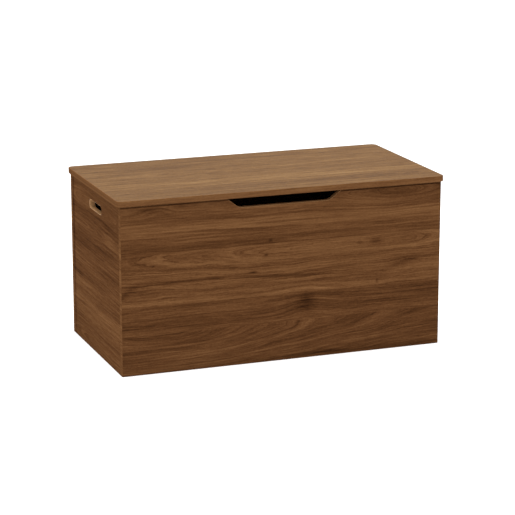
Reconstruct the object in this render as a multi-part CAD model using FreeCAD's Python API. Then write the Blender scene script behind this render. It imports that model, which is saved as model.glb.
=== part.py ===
"""Wooden toy box with a hinged lid: flat-pack board carcass, butt hinges and two lid stays.

Millimetres. +X is the box's right, +Y its back, +Z up. The origin is on the floor, in the
middle of the box's overall width and depth (the hinge knuckles count in the depth).
"""
import FreeCAD
import Part
import math
import os

Vector = FreeCAD.Vector
X_DIR = Vector(1, 0, 0)
Y_DIR = Vector(0, 1, 0)
Z_DIR = Vector(0, 0, 1)

# Driving dimensions: carcass and lid
LID_WIDTH = 900.0
LID_CORNER_RADIUS = 16.0
SIDE_OVERHANG = 8.0
FRONT_OVERHANG = 7.0
REAR_OVERHANG = 4.0
BODY_DEPTH = 455.0
BODY_HEIGHT = 442.0
BOARD = 15.0
BAND = 1.0
LID_GAP = 2.0

# Grip cut-out in the top edge of the front panel
GRIP_TOP_WIDTH = 311.0
GRIP_DEPTH = 24.0
GRIP_FLANK = 31.0
GRIP_CONVEX_RADIUS = 12.0
GRIP_CONCAVE_RADIUS = 28.0

# Handle slot through each side panel
SLOT_LENGTH = 110.0
SLOT_HEIGHT = 23.0
SLOT_DROP = 44.0
SLOT_FORWARD = 8.0

# Bottom panel and the rails that carry it
BOTTOM_THICKNESS = 12.0
RAIL = 20.0
RAIL_LIFT = 2.0
LOOSE_FIT = 0.5
LONG_RAIL_SCREWS_X = (-360.0, -120.0, 120.0, 360.0)
SHORT_RAIL_SCREWS_FROM_MIDDLE = (-110.0, 110.0)
BOTTOM_SCREWS_X = (-300.0, 0.0, 300.0)

# Screws: length, head radius and shank radius
RAIL_SCREW = (30.0, 3.5, 1.7)
BOTTOM_SCREW = (25.0, 3.5, 1.7)
HINGE_BODY_SCREW = (16.0, 2.6, 1.4)
HINGE_LID_SCREW = (12.0, 2.6, 1.4)
STAY_WALL_SCREW = (14.0, 3.2, 1.6)
STAY_LID_SCREW = (13.0, 3.2, 1.6)
SCREW_POINT_RADIUS = 0.3
TIP_PER_SHANK_RADIUS = 3.0
CROSS_REACH_PER_HEAD = 0.62
CROSS_HALF_WIDTH_PER_HEAD = 0.16
CROSS_DEPTH_PER_HEAD = 0.55

# Butt hinges
HINGE_POSITIONS = {"left": -300.0, "centre": 0.0, "right": 300.0}
HINGE_LENGTH = 60.0
LEAF_WIDTH = 14.0
LEAF_THICKNESS = 0.95
KNUCKLE_RADIUS = 3.0
KNUCKLE_COUNT = 5
KNUCKLE_PLAY = 0.3
KNUCKLE_CLEARANCE = 0.5
KNUCKLE_ROOT = 1.0
HINGE_SCREW_OFFSETS = (-22.0, 0.0, 22.0)
PIN_RADIUS = 1.5
PIN_PLAY = 0.05
PIN_HEAD_RADIUS = 2.3
PIN_HEAD_LENGTH = 1.0

# Joinery
DRILL_PLAY = 0.1
DOWEL_RADIUS = 4.0
DOWEL_LENGTH = 30.0
DOWEL_IN_FACE = 9.5
DOWEL_HEIGHTS = (130.0, 225.0, 405.0)
CAM_RADIUS = 7.5
CAM_DEPTH = 12.5
CAM_SETBACK = 24.0
CAM_HEIGHTS = (75.0, 320.0)
CAM_CROSS_REACH = 4.0
CAM_CROSS_HALF_WIDTH = 0.6
CAM_CROSS_DEPTH = 2.0
BOLT_SHANK_RADIUS = 3.0
BOLT_HEAD_RADIUS = 3.5
BOLT_HEAD_LENGTH = 3.0
BOLT_THREAD_RADIUS = 2.5
BOLT_THREAD_LENGTH = 11.0

# Lid stays: a parallelogram between the lid hinge, the wall pivot and the lid pivot.
# Each offset is (Y, Z), measured from the lid's hinge axis with the lid shut.
WALL_PIVOT_OFFSET = (-46.0, -62.0)
LID_PIVOT_OFFSET = (-110.0, -12.0)
RIVET_RADIUS = 3.0
RIVET_HEAD_RADIUS = 5.0
RIVET_HEAD_LENGTH = 1.5
RIVET_PLAY = 0.06
OPEN_PIVOT_PLAY = 0.1
WALL_RIVET_HEAD_RADIUS = 5.5
WALL_RIVET_GAP = 0.2
PLATE_THICKNESS = 2.0
ARM_THICKNESS = 2.5
ARM_RADIUS = 9.0
LINK_RADIUS = 7.0
DRUM_RADIUS = 17.0
DRUM_GAP = 0.1
STAY_GAP = 0.3
LINK_STANDOFF = 8.1

# Stay plates: outlines and screws as (Y, Z) offsets from the plate's own pivot
BASE_PLATE_OUTLINE = [(-19.0, -36.0), (19.0, -36.0), (19.0, 34.0), (-19.0, 34.0)]
BASE_PLATE_RADII = [8.0] * 4
WALL_SCREW_OFFSETS = ((-11.0, -27.0), (11.0, -27.0), (0.0, 26.0))
EAR_FOOT_HALF_WIDTH = 8.0
EAR_TOP_HALF_WIDTH = 17.0
EAR_RADII = [7.0, 7.0, 0.0, 0.0]
FLANGE_HALF_LENGTH = 20.0
FLANGE_WIDTH = 22.0
LID_SCREW_OFFSETS = (-12.0, 12.0)

# Bumpers between the carcass and the lid
BUMPER_RADIUS = 4.0
BUMPER_X = 400.0

# Sizes worked out from the ones above
BODY_WIDTH = LID_WIDTH - 2 * SIDE_OVERHANG
AXIS_SETBACK = REAR_OVERHANG + KNUCKLE_CLEARANCE + KNUCKLE_RADIUS
OVERALL_DEPTH = FRONT_OVERHANG + BODY_DEPTH + AXIS_SETBACK + KNUCKLE_RADIUS
LEFT_FACE = -BODY_WIDTH / 2
RIGHT_FACE = BODY_WIDTH / 2
INNER_X = RIGHT_FACE - BOARD
FRONT_FACE = FRONT_OVERHANG - OVERALL_DEPTH / 2
BACK_FACE = FRONT_FACE + BODY_DEPTH
INNER_FRONT = FRONT_FACE + BOARD
INNER_BACK = BACK_FACE - BOARD
BODY_MIDDLE_Y = (FRONT_FACE + BACK_FACE) / 2
LID_BOTTOM = BODY_HEIGHT + LID_GAP
AXIS_Y = BACK_FACE + AXIS_SETBACK
AXIS_Z = BODY_HEIGHT + LID_GAP / 2
RAIL_TOP = RAIL_LIFT + RAIL
FLOOR_TOP = RAIL_TOP + BOTTOM_THICKNESS
BACK_EDGE_MIDDLE = BACK_FACE - BOARD / 2
FRONT_EDGE_MIDDLE = FRONT_FACE + BOARD / 2

# Layers of a lid stay, as distances from the side panel's inner face
LINK_NEAR = LINK_STANDOFF
LINK_FAR = LINK_NEAR + ARM_THICKNESS
ARM_NEAR = LINK_FAR + STAY_GAP
ARM_FAR = ARM_NEAR + ARM_THICKNESS
EAR_FAR = ARM_NEAR + PLATE_THICKNESS
TAIL_FAR = LINK_NEAR - STAY_GAP
TAIL_NEAR = TAIL_FAR - RIVET_HEAD_LENGTH
DRUM_FAR = LINK_FAR - DRUM_GAP
FLANGE_FAR = ARM_NEAR + FLANGE_WIDTH


# ---- general shapes ----

def block(x0, x1, y0, y1, z0, z1):
    return Part.makeBox(x1 - x0, y1 - y0, z1 - z0, Vector(x0, y0, z0))


def rod(start, direction, radius, length):
    return Part.makeCylinder(radius, length, start, direction)


def fused(shapes):
    return shapes[0].fuse(list(shapes[1:])).removeSplitter()


def cut_all(shape, tools):
    return shape.cut(Part.makeCompound(list(tools)))


def fillet_points(before, corner, after, radius):
    """Start, middle and end of the arc that rounds a corner of a flat outline."""
    first = (before - corner).normalize()
    second = (after - corner).normalize()
    half = first.getAngle(second) / 2
    bisector = (first + second).normalize()
    centre = corner + bisector * (radius / math.sin(half))
    reach = radius / math.tan(half)
    return corner + first * reach, centre - bisector * radius, corner + second * reach


def plate(points, radii, thickness):
    """A flat plate with the given outline, each corner rounded by its own radius."""
    count = len(points)
    spans = []
    for i, corner in enumerate(points):
        if radii[i] > 0:
            spans.append(fillet_points(points[i - 1], corner, points[(i + 1) % count], radii[i]))
        else:
            spans.append((corner, None, corner))
    edges = []
    for i, (start, middle, end) in enumerate(spans):
        if middle is not None:
            edges.append(Part.Arc(start, middle, end).toShape())
        following = spans[(i + 1) % count][0]
        if (following - end).Length > 1e-6:
            edges.append(Part.LineSegment(end, following).toShape())
    return Part.Face(Part.Wire(edges)).extrude(thickness)


def inset_outline(points, radii, insets):
    """Move each side of a counter-clockwise (u, v) outline inwards and keep its corners tangent.

    insets[i] belongs to the side from point i to point i + 1. A convex corner's radius
    shrinks by the inset and a concave one's grows by it.
    """
    count = len(points)
    lines = []
    for i, (u0, v0) in enumerate(points):
        u1, v1 = points[(i + 1) % count]
        length = math.hypot(u1 - u0, v1 - v0)
        du, dv = (u1 - u0) / length, (v1 - v0) / length
        lines.append((u0 - dv * insets[i], v0 + du * insets[i], du, dv))
    moved = []
    new_radii = []
    for i in range(count):
        au, av, adu, adv = lines[i - 1]
        bu, bv, bdu, bdv = lines[i]
        turn = adu * bdv - adv * bdu
        along = ((bu - au) * bdv - (bv - av) * bdu) / turn
        moved.append((au + adu * along, av + adv * along))
        change = insets[i] if turn < 0 else -insets[i]
        new_radii.append(radii[i] + change if radii[i] > 0 else 0)
    return moved, new_radii


def bar(start, end, radius, thickness):
    """A flat bar with round ends, lying in a plane of constant X."""
    along = (end - start).normalize()
    side = X_DIR.cross(along) * radius
    edges = [
        Part.LineSegment(start + side, end + side).toShape(),
        Part.Arc(end + side, end + along * radius, end - side).toShape(),
        Part.LineSegment(end - side, start - side).toShape(),
        Part.Arc(start - side, start - along * radius, start + side).toShape(),
    ]
    return Part.Face(Part.Wire(edges)).extrude(X_DIR * thickness)


def cross_recess(reach, half_width, z0, z1):
    """The two crossing slots of a driver recess, about the Z axis."""
    return [
        block(-reach, reach, -half_width, half_width, z0, z1),
        block(-half_width, half_width, -reach, reach, z0, z1),
    ]


def countersunk_screw(point, direction, length, head_radius, shank_radius):
    """A flat-head screw with a cross recess; its head is flush at point."""
    head_height = head_radius - shank_radius
    tip_length = TIP_PER_SHANK_RADIUS * shank_radius
    shank_length = length - head_height - tip_length
    reach = CROSS_REACH_PER_HEAD * head_radius
    half_width = CROSS_HALF_WIDTH_PER_HEAD * head_radius
    depth = CROSS_DEPTH_PER_HEAD * head_radius
    body = fused([
        Part.makeCone(head_radius, shank_radius, head_height),
        Part.makeCylinder(shank_radius, shank_length, Vector(0, 0, head_height)),
        Part.makeCone(shank_radius, SCREW_POINT_RADIUS, tip_length, Vector(0, 0, length - tip_length)),
    ])
    body = cut_all(body, cross_recess(reach, half_width, 0, depth))
    body.Placement = FreeCAD.Placement(point, FreeCAD.Rotation(Z_DIR, direction))
    return body


def screw_hole(point, direction, length, head_radius, shank_radius):
    """The drilled and countersunk hole that the same screw sits in."""
    play = DRILL_PLAY
    head_height = head_radius - shank_radius
    hole = fused([
        Part.makeCone(head_radius + play, shank_radius + play, head_height),
        Part.makeCylinder(shank_radius + play, length + play),
        Part.makeCylinder(head_radius + play, play, Vector(0, 0, -play)),
    ])
    hole.Placement = FreeCAD.Placement(point, FreeCAD.Rotation(Z_DIR, direction))
    return hole


class ScrewSet:
    """Screws of one size: their places, their solids and the holes they need."""

    def __init__(self, length, head_radius, shank_radius):
        self.size = (length, head_radius, shank_radius)
        self.places = []

    def add(self, point, direction):
        self.places.append((point, direction))

    def solids(self):
        return [countersunk_screw(p, d, *self.size) for p, d in self.places]

    def holes(self):
        return [screw_hole(p, d, *self.size) for p, d in self.places]


# ---- carcass boards ----

def front_outline():
    """The front panel's (x, z) outline, counter-clockwise, with the grip cut-out on top."""
    top = GRIP_TOP_WIDTH / 2
    bottom = top - GRIP_FLANK
    points = [
        (LEFT_FACE, 0), (RIGHT_FACE, 0), (RIGHT_FACE, BODY_HEIGHT),
        (top, BODY_HEIGHT), (bottom, BODY_HEIGHT - GRIP_DEPTH),
        (-bottom, BODY_HEIGHT - GRIP_DEPTH), (-top, BODY_HEIGHT), (LEFT_FACE, BODY_HEIGHT),
    ]
    radii = [0, 0, 0, GRIP_CONVEX_RADIUS, GRIP_CONCAVE_RADIUS,
             GRIP_CONCAVE_RADIUS, GRIP_CONVEX_RADIUS, 0]
    return points, radii


def back_outline():
    points = [(LEFT_FACE, 0), (RIGHT_FACE, 0), (RIGHT_FACE, BODY_HEIGHT), (LEFT_FACE, BODY_HEIGHT)]
    return points, [0, 0, 0, 0]


def upright_board(outline, y):
    """A front or back board: its core, and its edge band as two end strips and a top strip."""
    points, radii = outline
    insets = [0] + [BAND] * (len(points) - 1)
    core_points, core_radii = inset_outline(points, radii, insets)
    whole = plate([Vector(u, y, v) for u, v in points], radii, Y_DIR * BOARD)
    core = plate([Vector(u, y, v) for u, v in core_points], core_radii, Y_DIR * BOARD)
    ends = [
        block(LEFT_FACE, LEFT_FACE + BAND, y, y + BOARD, 0, BODY_HEIGHT),
        block(RIGHT_FACE - BAND, RIGHT_FACE, y, y + BOARD, 0, BODY_HEIGHT),
    ]
    top_strip = cut_all(whole, [core] + ends)
    return core, ends + [top_strip]


def side_board(x):
    """A side board between the front and back boards, with its handle slot and top strip."""
    core = block(x, x + BOARD, INNER_FRONT, INNER_BACK, 0, BODY_HEIGHT - BAND)
    strip = block(x, x + BOARD, INNER_FRONT, INNER_BACK, BODY_HEIGHT - BAND, BODY_HEIGHT)
    reach = (SLOT_LENGTH - SLOT_HEIGHT) / 2
    middle = BODY_MIDDLE_Y - SLOT_FORWARD
    height = BODY_HEIGHT - SLOT_DROP
    slot = bar(Vector(x, middle - reach, height), Vector(x, middle + reach, height),
               SLOT_HEIGHT / 2, BOARD)
    return core.cut(slot), [strip]


def lid_board():
    left, right = -LID_WIDTH / 2, LID_WIDTH / 2
    front, back = FRONT_FACE - FRONT_OVERHANG, BACK_FACE + REAR_OVERHANG
    points = [(left, front), (right, front), (right, back), (left, back)]
    radii = [LID_CORNER_RADIUS] * 4
    core_points, core_radii = inset_outline(points, radii, [BAND] * 4)
    whole = plate([Vector(u, v, LID_BOTTOM) for u, v in points], radii, Z_DIR * BOARD)
    core = plate([Vector(u, v, LID_BOTTOM) for u, v in core_points], core_radii, Z_DIR * BOARD)
    return core, [whole.cut(core)]


def bottom_board():
    return block(-INNER_X + LOOSE_FIT, INNER_X - LOOSE_FIT,
                 INNER_FRONT + LOOSE_FIT, INNER_BACK - LOOSE_FIT, RAIL_TOP, FLOOR_TOP)


def rails():
    """Battens screwed round the foot of the carcass; the bottom board lies on them."""
    end_x = INNER_X - LOOSE_FIT
    end_front = INNER_FRONT + RAIL + LOOSE_FIT
    end_back = INNER_BACK - RAIL - LOOSE_FIT
    return {
        "front_rail": block(-end_x, end_x, INNER_FRONT, INNER_FRONT + RAIL, RAIL_LIFT, RAIL_TOP),
        "rear_rail": block(-end_x, end_x, INNER_BACK - RAIL, INNER_BACK, RAIL_LIFT, RAIL_TOP),
        "left_rail": block(-INNER_X, -INNER_X + RAIL, end_front, end_back, RAIL_LIFT, RAIL_TOP),
        "right_rail": block(INNER_X - RAIL, INNER_X, end_front, end_back, RAIL_LIFT, RAIL_TOP),
    }


def rail_screw_set():
    screws = ScrewSet(*RAIL_SCREW)
    height = RAIL_LIFT + RAIL / 2
    for x in LONG_RAIL_SCREWS_X:
        screws.add(Vector(x, INNER_FRONT + RAIL, height), -Y_DIR)
        screws.add(Vector(x, INNER_BACK - RAIL, height), Y_DIR)
    for offset in SHORT_RAIL_SCREWS_FROM_MIDDLE:
        y = BODY_MIDDLE_Y + offset
        screws.add(Vector(-INNER_X + RAIL, y, height), -X_DIR)
        screws.add(Vector(INNER_X - RAIL, y, height), X_DIR)
    return screws


def bottom_screw_set():
    screws = ScrewSet(*BOTTOM_SCREW)
    for x in BOTTOM_SCREWS_X:
        for y in (INNER_FRONT + RAIL / 2, INNER_BACK - RAIL / 2):
            screws.add(Vector(x, y, FLOOR_TOP), -Z_DIR)
    for x in (-INNER_X + RAIL / 2, INNER_X - RAIL / 2):
        screws.add(Vector(x, BODY_MIDDLE_Y, FLOOR_TOP), -Z_DIR)
    return screws


# ---- corner joinery ----

def corners():
    """The four upright corner joints: side board's middle X, its end Y, and the way outwards."""
    for middle_x in (LEFT_FACE + BOARD / 2, RIGHT_FACE - BOARD / 2):
        yield middle_x, INNER_FRONT, -Y_DIR
        yield middle_x, INNER_BACK, Y_DIR


def corner_dowels():
    """Dowels and the holes for them, half in the front or back board and half in the side."""
    dowels = []
    holes = []
    for x, y, outwards in corners():
        for z in DOWEL_HEIGHTS:
            end = Vector(x, y, z) + outwards * DOWEL_IN_FACE
            dowels.append(rod(end, -outwards, DOWEL_RADIUS, DOWEL_LENGTH))
            holes.append(rod(end + outwards * LOOSE_FIT, -outwards, DOWEL_RADIUS + DRILL_PLAY,
                             DOWEL_LENGTH + 2 * LOOSE_FIT))
    return dowels, holes


def cam_fittings():
    """Cam locks let into the side boards' inner faces, the bolts they pull, and their holes."""
    locks, bolts, holes = [], [], []
    for x, y, outwards in corners():
        inwards_x = -X_DIR if x > 0 else X_DIR
        for z in CAM_HEIGHTS:
            joint = Vector(x, y, z)
            centre = joint - outwards * CAM_SETBACK
            face = centre + inwards_x * (BOARD / 2)
            lock = rod(face, -inwards_x, CAM_RADIUS, CAM_DEPTH)
            bolt_room = rod(centre - outwards * BOLT_HEAD_LENGTH, outwards,
                            BOLT_HEAD_RADIUS + DRILL_PLAY, CAM_RADIUS + BOLT_HEAD_LENGTH)
            cross = cross_recess(CAM_CROSS_REACH, CAM_CROSS_HALF_WIDTH, -CAM_CROSS_DEPTH, 0)
            for slot in cross:
                slot.Placement = FreeCAD.Placement(face, FreeCAD.Rotation(Z_DIR, inwards_x))
            locks.append(cut_all(lock, [bolt_room] + cross))
            thread = rod(joint, outwards, BOLT_THREAD_RADIUS, BOLT_THREAD_LENGTH)
            shank = rod(centre, outwards, BOLT_SHANK_RADIUS, CAM_SETBACK)
            head = rod(centre - outwards * (BOLT_HEAD_LENGTH / 2), outwards,
                       BOLT_HEAD_RADIUS, BOLT_HEAD_LENGTH)
            bolts.append(fused([thread, shank, head]))
            holes.append(rod(face, -inwards_x, CAM_RADIUS + DRILL_PLAY, CAM_DEPTH + DRILL_PLAY))
            holes.append(rod(centre, outwards, BOLT_HEAD_RADIUS + DRILL_PLAY, CAM_SETBACK))
            holes.append(rod(joint, outwards, BOLT_THREAD_RADIUS + DRILL_PLAY,
                             BOLT_THREAD_LENGTH + DRILL_PLAY))
    return locks, bolts, holes


# ---- butt hinges ----

def hinge_leaf(middle_x, plate_bottom, own_knuckles):
    """One leaf: a thin plate over the back board's edge, with every other knuckle."""
    start_x = middle_x - HINGE_LENGTH / 2
    pitch = HINGE_LENGTH / KNUCKLE_COUNT
    front = BACK_FACE - LEAF_WIDTH
    near_knuckle = AXIS_Y - KNUCKLE_RADIUS - KNUCKLE_PLAY
    plate_top = plate_bottom + LEAF_THICKNESS
    pieces = [block(start_x, start_x + HINGE_LENGTH, front, near_knuckle, plate_bottom, plate_top)]
    bore = rod(Vector(start_x, AXIS_Y, AXIS_Z), X_DIR, PIN_RADIUS + PIN_PLAY, HINGE_LENGTH)
    for index in own_knuckles:
        x0 = start_x + index * pitch + KNUCKLE_PLAY / 2
        x1 = start_x + (index + 1) * pitch - KNUCKLE_PLAY / 2
        pieces.append(rod(Vector(x0, AXIS_Y, AXIS_Z), X_DIR, KNUCKLE_RADIUS, x1 - x0))
        pieces.append(block(x0, x1, near_knuckle - KNUCKLE_ROOT, AXIS_Y, plate_bottom, plate_top))
    return fused(pieces).cut(bore)


def hinge_pin(middle_x):
    """A plain pin with a flat head at each end."""
    start = Vector(middle_x - HINGE_LENGTH / 2, AXIS_Y, AXIS_Z)
    end = start + X_DIR * HINGE_LENGTH
    return fused([
        rod(start, X_DIR, PIN_RADIUS, HINGE_LENGTH),
        rod(start, -X_DIR, PIN_HEAD_RADIUS, PIN_HEAD_LENGTH),
        rod(end, X_DIR, PIN_HEAD_RADIUS, PIN_HEAD_LENGTH),
    ])


def hinge_screw_sets():
    body_screws = ScrewSet(*HINGE_BODY_SCREW)
    lid_screws = ScrewSet(*HINGE_LID_SCREW)
    for middle_x in HINGE_POSITIONS.values():
        for offset in HINGE_SCREW_OFFSETS:
            place = Vector(middle_x + offset, BACK_EDGE_MIDDLE, 0)
            body_screws.add(place + Z_DIR * (BODY_HEIGHT + LEAF_THICKNESS), -Z_DIR)
            lid_screws.add(place + Z_DIR * (LID_BOTTOM - LEAF_THICKNESS), Z_DIR)
    return body_screws, lid_screws


# ---- lid stays ----

class Stay:
    """One lid stay against a side board; side is -1 on the left and +1 on the right."""

    def __init__(self, side):
        self.side = side
        self.wall_pivot = (AXIS_Y + WALL_PIVOT_OFFSET[0], AXIS_Z + WALL_PIVOT_OFFSET[1])
        self.lid_pivot = (AXIS_Y + LID_PIVOT_OFFSET[0], AXIS_Z + LID_PIVOT_OFFSET[1])
        self.elbow = (self.wall_pivot[0] + LID_PIVOT_OFFSET[0],
                      self.wall_pivot[1] + LID_PIVOT_OFFSET[1])
        self.into_box = X_DIR * -side

    def point(self, layer, y, z):
        """The point at a distance from the side board's inner face."""
        return Vector(self.side * (INNER_X - layer), y, z)

    def low_x(self, near, far):
        """The lower X of a layer that runs from near to far."""
        return min(self.side * (INNER_X - near), self.side * (INNER_X - far))

    def pierce(self, centre, radius, near, far):
        return rod(self.point(near, *centre), self.into_box, radius, far - near)

    def flat(self, centre, outline, radii, near, far):
        """A flat plate in a layer; outline is (y, z) about centre."""
        x = self.low_x(near, far)
        corners_3d = [Vector(x, centre[0] + dy, centre[1] + dz) for dy, dz in outline]
        return plate(corners_3d, radii, X_DIR * (far - near))

    def wall_screws(self, screws):
        for dy, dz in WALL_SCREW_OFFSETS:
            point = self.point(PLATE_THICKNESS, self.wall_pivot[0] + dy, self.wall_pivot[1] + dz)
            screws.add(point, -self.into_box)

    def lid_screws(self, screws):
        middle = (EAR_FAR + FLANGE_FAR) / 2
        for dy in LID_SCREW_OFFSETS:
            point = self.point(middle, self.lid_pivot[0] + dy, LID_BOTTOM - PLATE_THICKNESS)
            screws.add(point, Z_DIR)

    def base_plate(self):
        shape = self.flat(self.wall_pivot, BASE_PLATE_OUTLINE, BASE_PLATE_RADII, 0, PLATE_THICKNESS)
        return shape.cut(self.pierce(self.wall_pivot, RIVET_RADIUS + RIVET_PLAY, 0, PLATE_THICKNESS))

    def housing(self):
        """The plastic drum that holds the friction discs."""
        drum = self.pierce(self.wall_pivot, DRUM_RADIUS, PLATE_THICKNESS, DRUM_FAR)
        bore_radius = RIVET_RADIUS + RIVET_PLAY
        return drum.cut(self.pierce(self.wall_pivot, bore_radius, PLATE_THICKNESS, DRUM_FAR))

    def wall_rivet(self):
        head_near = ARM_FAR + STAY_GAP
        head_far = head_near + RIVET_HEAD_LENGTH
        return fused([
            self.pierce(self.wall_pivot, RIVET_RADIUS, WALL_RIVET_GAP, head_far),
            self.pierce(self.wall_pivot, WALL_RIVET_HEAD_RADIUS, head_near, head_far),
        ])

    def arm(self):
        x = self.low_x(ARM_NEAR, ARM_FAR)
        shape = bar(Vector(x, *self.wall_pivot), Vector(x, *self.elbow), ARM_RADIUS, ARM_THICKNESS)
        return cut_all(shape, [
            self.pierce(self.wall_pivot, RIVET_RADIUS + RIVET_PLAY, ARM_NEAR, ARM_FAR),
            self.pierce(self.elbow, RIVET_RADIUS + RIVET_PLAY, ARM_NEAR, ARM_FAR),
        ])

    def link(self):
        x = self.low_x(LINK_NEAR, LINK_FAR)
        shape = bar(Vector(x, *self.elbow), Vector(x, *self.lid_pivot), LINK_RADIUS, ARM_THICKNESS)
        return cut_all(shape, [
            self.pierce(self.elbow, RIVET_RADIUS + RIVET_PLAY, LINK_NEAR, LINK_FAR),
            self.pierce(self.lid_pivot, RIVET_RADIUS + OPEN_PIVOT_PLAY, LINK_NEAR, LINK_FAR),
        ])

    def two_headed_rivet(self, centre, head_near):
        """A rivet whose tail head is behind the link and whose other head starts at head_near."""
        head_far = head_near + RIVET_HEAD_LENGTH
        return fused([
            self.pierce(centre, RIVET_RADIUS, TAIL_NEAR, head_far),
            self.pierce(centre, RIVET_HEAD_RADIUS, TAIL_NEAR, TAIL_FAR),
            self.pierce(centre, RIVET_HEAD_RADIUS, head_near, head_far),
        ])

    def lid_bracket(self):
        """An angle bracket: a flange under the lid and an ear that carries the link."""
        ear_top = LID_BOTTOM - self.lid_pivot[1]
        outline = [
            (-EAR_FOOT_HALF_WIDTH, -EAR_FOOT_HALF_WIDTH), (EAR_FOOT_HALF_WIDTH, -EAR_FOOT_HALF_WIDTH),
            (EAR_TOP_HALF_WIDTH, ear_top), (-EAR_TOP_HALF_WIDTH, ear_top),
        ]
        ear = self.flat(self.lid_pivot, outline, EAR_RADII, ARM_NEAR, EAR_FAR)
        x = self.low_x(ARM_NEAR, FLANGE_FAR)
        y = self.lid_pivot[0]
        flange = block(x, x + FLANGE_WIDTH, y - FLANGE_HALF_LENGTH, y + FLANGE_HALF_LENGTH,
                       LID_BOTTOM - PLATE_THICKNESS, LID_BOTTOM)
        hole = self.pierce(self.lid_pivot, RIVET_RADIUS + RIVET_PLAY, ARM_NEAR, EAR_FAR)
        return fused([ear, flange]).cut(hole)


def lid_bumpers():
    return [rod(Vector(x, y, BODY_HEIGHT), Z_DIR, BUMPER_RADIUS, LID_GAP)
            for x in (-BUMPER_X, BUMPER_X) for y in (FRONT_EDGE_MIDDLE, BACK_EDGE_MIDDLE)]


# ---- the whole box ----

def build():
    """Every node of the box, by name, as a list of its solids."""
    dowels, dowel_holes = corner_dowels()
    locks, bolts, cam_holes = cam_fittings()
    rail_screws = rail_screw_set()
    bottom_screws = bottom_screw_set()
    hinge_body_screws, hinge_lid_screws = hinge_screw_sets()
    stays = {"left": Stay(-1), "right": Stay(1)}
    stay_wall_screws = ScrewSet(*STAY_WALL_SCREW)
    stay_lid_screws = ScrewSet(*STAY_LID_SCREW)
    for stay in stays.values():
        stay.wall_screws(stay_wall_screws)
        stay.lid_screws(stay_lid_screws)

    front, front_band = upright_board(front_outline(), FRONT_FACE)
    back, back_band = upright_board(back_outline(), INNER_BACK)
    left, left_band = side_board(LEFT_FACE)
    right, right_band = side_board(INNER_X)
    lid, lid_band = lid_board()

    corner_holes = dowel_holes + cam_holes + rail_screws.holes()
    wall_holes = corner_holes + stay_wall_screws.holes()
    body_hinge_holes = hinge_body_screws.holes()
    lid_holes = hinge_lid_screws.holes() + stay_lid_screws.holes()
    nodes = {
        "front_panel": [cut_all(front, corner_holes)],
        "front_panel_edge_band": front_band,
        "back_panel": [cut_all(back, corner_holes + body_hinge_holes)],
        "back_panel_edge_band": [cut_all(strip, body_hinge_holes) for strip in back_band],
        "left_side_panel": [cut_all(left, wall_holes)],
        "left_side_edge_band": left_band,
        "right_side_panel": [cut_all(right, wall_holes)],
        "right_side_edge_band": right_band,
        "bottom_panel": [cut_all(bottom_board(), bottom_screws.holes())],
        "lid_panel": [cut_all(lid, lid_holes)],
        "lid_edge_band": lid_band,
        "corner_dowels": dowels,
        "cam_locks": locks,
        "cam_bolts": bolts,
        "rail_screws": rail_screws.solids(),
        "bottom_panel_screws": bottom_screws.solids(),
        "hinge_body_screws": hinge_body_screws.solids(),
        "hinge_lid_screws": hinge_lid_screws.solids(),
        "stay_wall_screws": stay_wall_screws.solids(),
        "stay_lid_screws": stay_lid_screws.solids(),
        "lid_bumpers": lid_bumpers(),
    }
    for name, rail in rails().items():
        nodes[name] = [cut_all(rail, rail_screws.holes() + bottom_screws.holes())]
    for name, middle_x in HINGE_POSITIONS.items():
        body_leaf = hinge_leaf(middle_x, BODY_HEIGHT, (0, 2, 4))
        lid_leaf = hinge_leaf(middle_x, LID_BOTTOM - LEAF_THICKNESS, (1, 3))
        nodes[name + "_hinge_body_leaf"] = [cut_all(body_leaf, body_hinge_holes)]
        nodes[name + "_hinge_lid_leaf"] = [cut_all(lid_leaf, hinge_lid_screws.holes())]
        nodes[name + "_hinge_pin"] = [hinge_pin(middle_x)]
    for name, stay in stays.items():
        nodes[name + "_stay_base_plate"] = [cut_all(stay.base_plate(), stay_wall_screws.holes())]
        nodes[name + "_stay_housing"] = [stay.housing()]
        nodes[name + "_stay_wall_rivet"] = [stay.wall_rivet()]
        nodes[name + "_stay_arm"] = [stay.arm()]
        nodes[name + "_stay_elbow_rivet"] = [stay.two_headed_rivet(stay.elbow, ARM_FAR)]
        nodes[name + "_stay_link"] = [stay.link()]
        nodes[name + "_stay_lid_bracket"] = [cut_all(stay.lid_bracket(), stay_lid_screws.holes())]
        nodes[name + "_stay_lid_rivet"] = [stay.two_headed_rivet(stay.lid_pivot, EAR_FAR)]
    return nodes


def solids_of(shapes):
    return [solid for shape in shapes for solid in shape.Solids]


os.makedirs("parts", exist_ok=True)
for node, shapes in build().items():
    solids = solids_of(shapes)
    whole = solids[0] if len(solids) == 1 else Part.makeCompound(solids)
    whole.exportStep("parts/" + node + ".step")
    validity = "valid" if whole.isValid() else "INVALID"
    print(node, len(solids), "solids", round(whole.Volume), "mm3", validity)
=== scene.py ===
"""Looks of the wooden toy box: boards with soft arrises, edge bands, fittings, materials and light.

Metres throughout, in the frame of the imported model: +X is the box's right, +Y its back, +Z up.
"""
import math
from collections import namedtuple

import bmesh
import bpy
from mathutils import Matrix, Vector
from mathutils.geometry import tessellate_polygon


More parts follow.
